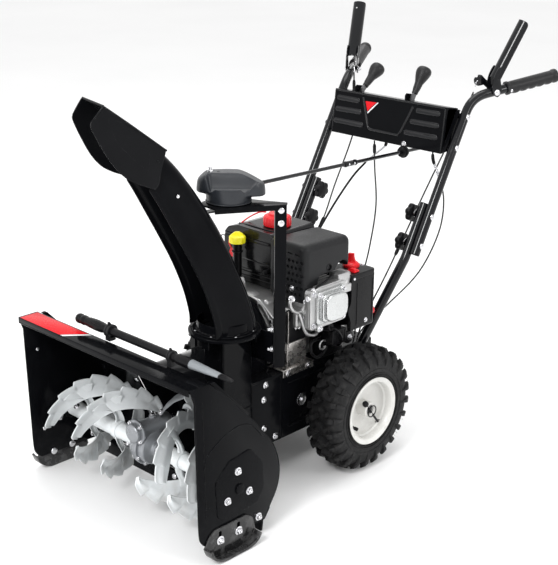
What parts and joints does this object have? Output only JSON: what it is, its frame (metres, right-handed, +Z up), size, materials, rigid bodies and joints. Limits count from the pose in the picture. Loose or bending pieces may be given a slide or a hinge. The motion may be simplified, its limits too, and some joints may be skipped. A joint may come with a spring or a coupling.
{
  "type": "two stage snowblower",
  "caption": "Walk-behind two stage snowblower with serrated auger, impeller, turning discharge chute, small petrol engine, lugged tyres and twin handles with levers.",
  "frame": {"origin": "on the ground at the centre of the whole machine's footprint", "axes": "+Z up, +Y towards the handles (the auger mouth faces -Y), +X to the operator's left"},
  "size_m": [0.725, 1.3819, 1.1111],
  "materials": {
    "black_paint": "gloss",
    "silver_paint": "satin",
    "grey_casting": "painted, satin",
    "bronze": "machined",
    "steel": "bright",
    "pulley_iron": "machined",
    "belt_rubber": "matte",
    "rim_paint": "satin",
    "tyre": "matte",
    "engine_casting": "as cast",
    "heat_paint": "satin",
    "black_plastic": "grained",
    "red_plastic": "satin",
    "yellow_plastic": "satin"
  },
  "bodies": {
    "chassis": {"housing_shell": "black_paint", "side_plate_left": "black_paint", "side_plate_right": "black_paint", "scraper_bar": "black_paint", "impeller_drum": "black_paint", "auger_gearbox": "grey_casting", "belt_cover": "black_paint", "main_frame": "black_paint", "engine_block": "engine_casting", "valve_cover": "engine_casting", "muffler_cover": "heat_paint", "fuel_tank": "black_plastic", "heater_box": "black_plastic", "recoil_cover": "black_plastic", "chute_bracket": "black_paint", "chute_gear_cover": "black_plastic", "lower_handle_left": "black_paint", "lower_handle_right": "black_paint", "upper_handle_left": "black_paint", "upper_handle_right": "black_paint", "grip_left": "black_plastic", "grip_right": "black_plastic", "control_panel": "black_paint", "drive_cable": "belt_rubber", "auger_cable": "belt_rubber", "shift_cable": "belt_rubber", "auger_belt": "belt_rubber"},
    "auger": {"auger_shaft": "silver_paint", "worm_wheel": "bronze", "auger_flight_left": "silver_paint", "auger_flight_right": "silver_paint"},
    "impeller_rotor": {"impeller": "silver_paint", "impeller_shaft": "steel", "impeller_pulley": "pulley_iron"},
    "crankshaft": {"engine_pulley": "pulley_iron"},
    "wheels": {"wheel_axle": "steel", "rim_left": "rim_paint", "rim_right": "rim_paint", "tire_left": "tyre", "tire_right": "tyre"},
    "skid_left": {"skid_shoe_left": "black_paint"},
    "skid_right": {"skid_shoe_right": "black_paint"},
    "chute_body": {"chute": "black_paint"},
    "deflector": {"chute_deflector": "black_paint"},
    "crank": {"chute_crank": "black_paint"},
    "deflector_control": {"deflector_lever": "black_plastic"},
    "speed_control": {"speed_lever": "black_plastic"},
    "drive_clutch": {"drive_clutch_lever": "black_paint"},
    "auger_clutch": {"auger_clutch_lever": "black_paint"},
    "knob_upper_left": {"star_knob_upper_left": "black_plastic"},
    "knob_upper_right": {"star_knob_upper_right": "black_plastic"},
    "knob_lower_left": {"star_knob_lower_left": "black_plastic"},
    "knob_lower_right": {"star_knob_lower_right": "black_plastic"},
    "fuel_lid": {"fuel_cap": "red_plastic"},
    "oil_lid": {"oil_filler_cap": "yellow_plastic"},
    "choke": {"choke_knob": "red_plastic"},
    "stop": {"stop_switch": "red_plastic"},
    "primer": {"primer_bulb": "red_plastic"},
    "starter": {"starter_handle": "black_plastic"},
    "tool": {"clean_out_tool": "black_plastic"}
  },
  "joints": [
    {"name": "wheel_spin", "type": "hinge", "parent": "chassis", "child": "wheels", "pos_m": [-0.01148, 0.0147, 0.165], "axis": [1, 0, 0], "continuous": true},
    {"name": "auger_spin", "type": "hinge", "parent": "chassis", "child": "auger", "pos_m": [-0.01148, -0.4963, 0.151], "axis": [1, 0, 0], "continuous": true},
    {"name": "impeller_spin", "type": "hinge", "parent": "chassis", "child": "impeller_rotor", "pos_m": [-0.01148, -0.3253, 0.198], "axis": [0, 1, 0], "continuous": true},
    {"name": "engine_spin", "type": "hinge", "parent": "chassis", "child": "crankshaft", "pos_m": [-0.01148, -0.2433, 0.392], "axis": [0, 1, 0], "continuous": true},
    {"name": "skid_left_height", "type": "slide", "parent": "chassis", "child": "skid_left", "axis": [0, 0, 1], "range_m": [-0.019, 0]},
    {"name": "skid_right_height", "type": "slide", "parent": "chassis", "child": "skid_right", "axis": [0, 0, 1], "range_m": [-0.019, 0]},
    {"name": "chute_turn", "type": "hinge", "parent": "chassis", "child": "chute_body", "pos_m": [0.10052, -0.3473, 0.446], "axis": [0, 0, 1], "range_deg": [-95, 75]},
    {"name": "deflector_tilt", "type": "hinge", "parent": "chute_body", "child": "deflector", "pos_m": [0.05722, -0.52098, 0.906], "axis": [0.9703, -0.2419, 0], "range_deg": [0, 40]},
    {"name": "crank_turn", "type": "hinge", "parent": "chassis", "child": "crank", "pos_m": [0.11252, -0.2508, 0.786], "axis": [-0.0882, 0.9946, -0.0545], "range_deg": [-760, 600]},
    {"name": "deflector_lever_turn", "type": "hinge", "parent": "chassis", "child": "deflector_control", "pos_m": [0.04752, 0.4107, 0.85], "axis": [1, 0, 0], "range_deg": [0, 18]},
    {"name": "speed_lever_turn", "type": "hinge", "parent": "chassis", "child": "speed_control", "pos_m": [-0.12948, 0.4107, 0.85], "axis": [1, 0, 0], "range_deg": [-18, 18]},
    {"name": "drive_clutch_press", "type": "hinge", "parent": "chassis", "child": "drive_clutch", "pos_m": [0.23721, 0.51997, 0.92283], "axis": [-0.8829, 0.4695, 0], "range_deg": [0, 50], "stiffness_Nm_per_rad": 1.2, "springref_deg": -28.65},
    {"name": "auger_clutch_press", "type": "hinge", "parent": "chassis", "child": "auger_clutch", "pos_m": [-0.26017, 0.51997, 0.92283], "axis": [-0.8829, -0.4695, 0], "range_deg": [0, 50], "stiffness_Nm_per_rad": 1.2, "springref_deg": -28.65},
    {"name": "knob_upper_left_turn", "type": "hinge", "parent": "chassis", "child": "knob_upper_left", "pos_m": [0.16732, 0.29913, 0.614], "axis": [1, 0, 0], "range_deg": [0, 180]},
    {"name": "knob_upper_right_turn", "type": "hinge", "parent": "chassis", "child": "knob_upper_right", "pos_m": [-0.19028, 0.29913, 0.614], "axis": [1, 0, 0], "range_deg": [0, 180]},
    {"name": "knob_lower_left_turn", "type": "hinge", "parent": "chassis", "child": "knob_lower_left", "pos_m": [0.16732, 0.2597, 0.542], "axis": [1, 0, 0], "range_deg": [0, 180]},
    {"name": "knob_lower_right_turn", "type": "hinge", "parent": "chassis", "child": "knob_lower_right", "pos_m": [-0.19028, 0.2597, 0.542], "axis": [1, 0, 0], "range_deg": [0, 180]},
    {"name": "fuel_cap_turn", "type": "hinge", "parent": "chassis", "child": "fuel_lid", "pos_m": [-0.02148, -0.0413, 0.63], "axis": [0, 0, 1], "range_deg": [0, 90]},
    {"name": "oil_cap_turn", "type": "hinge", "parent": "chassis", "child": "oil_lid", "pos_m": [-0.07148, -0.1363, 0.585], "axis": [0, 0, 1], "range_deg": [0, 180]},
    {"name": "choke_turn", "type": "hinge", "parent": "chassis", "child": "choke", "pos_m": [0.12652, 0.0827, 0.52], "axis": [0, 0, 1], "range_deg": [0, 90]},
    {"name": "stop_rock", "type": "hinge", "parent": "chassis", "child": "stop", "pos_m": [0.15852, 0.0537, 0.506], "axis": [1, 0, 0], "range_deg": [-8, 8]},
    {"name": "primer_press", "type": "slide", "parent": "chassis", "child": "primer", "axis": [0, -1, 0], "range_m": [0, 0.006], "stiffness_N_per_m": 300, "springref_m": -0.003},
    {"name": "starter_pull", "type": "slide", "parent": "chassis", "child": "starter", "axis": [0, 0, 1], "range_m": [0, 0.2], "stiffness_N_per_m": 40, "springref_m": -0.06},
    {"name": "tool_lift", "type": "slide", "parent": "chassis", "child": "tool", "axis": [0, 0, 1], "range_m": [0, 0.15]}
  ],
  "couplings": [
    {"joint": "impeller_spin", "follows": "auger_spin", "ratio": 10},
    {"joint": "engine_spin", "follows": "auger_spin", "ratio": 26.4},
    {"joint": "crank_turn", "follows": "chute_turn", "ratio": 8},
    {"joint": "deflector_lever_turn", "follows": "deflector_tilt", "ratio": 0.45}
  ]
}
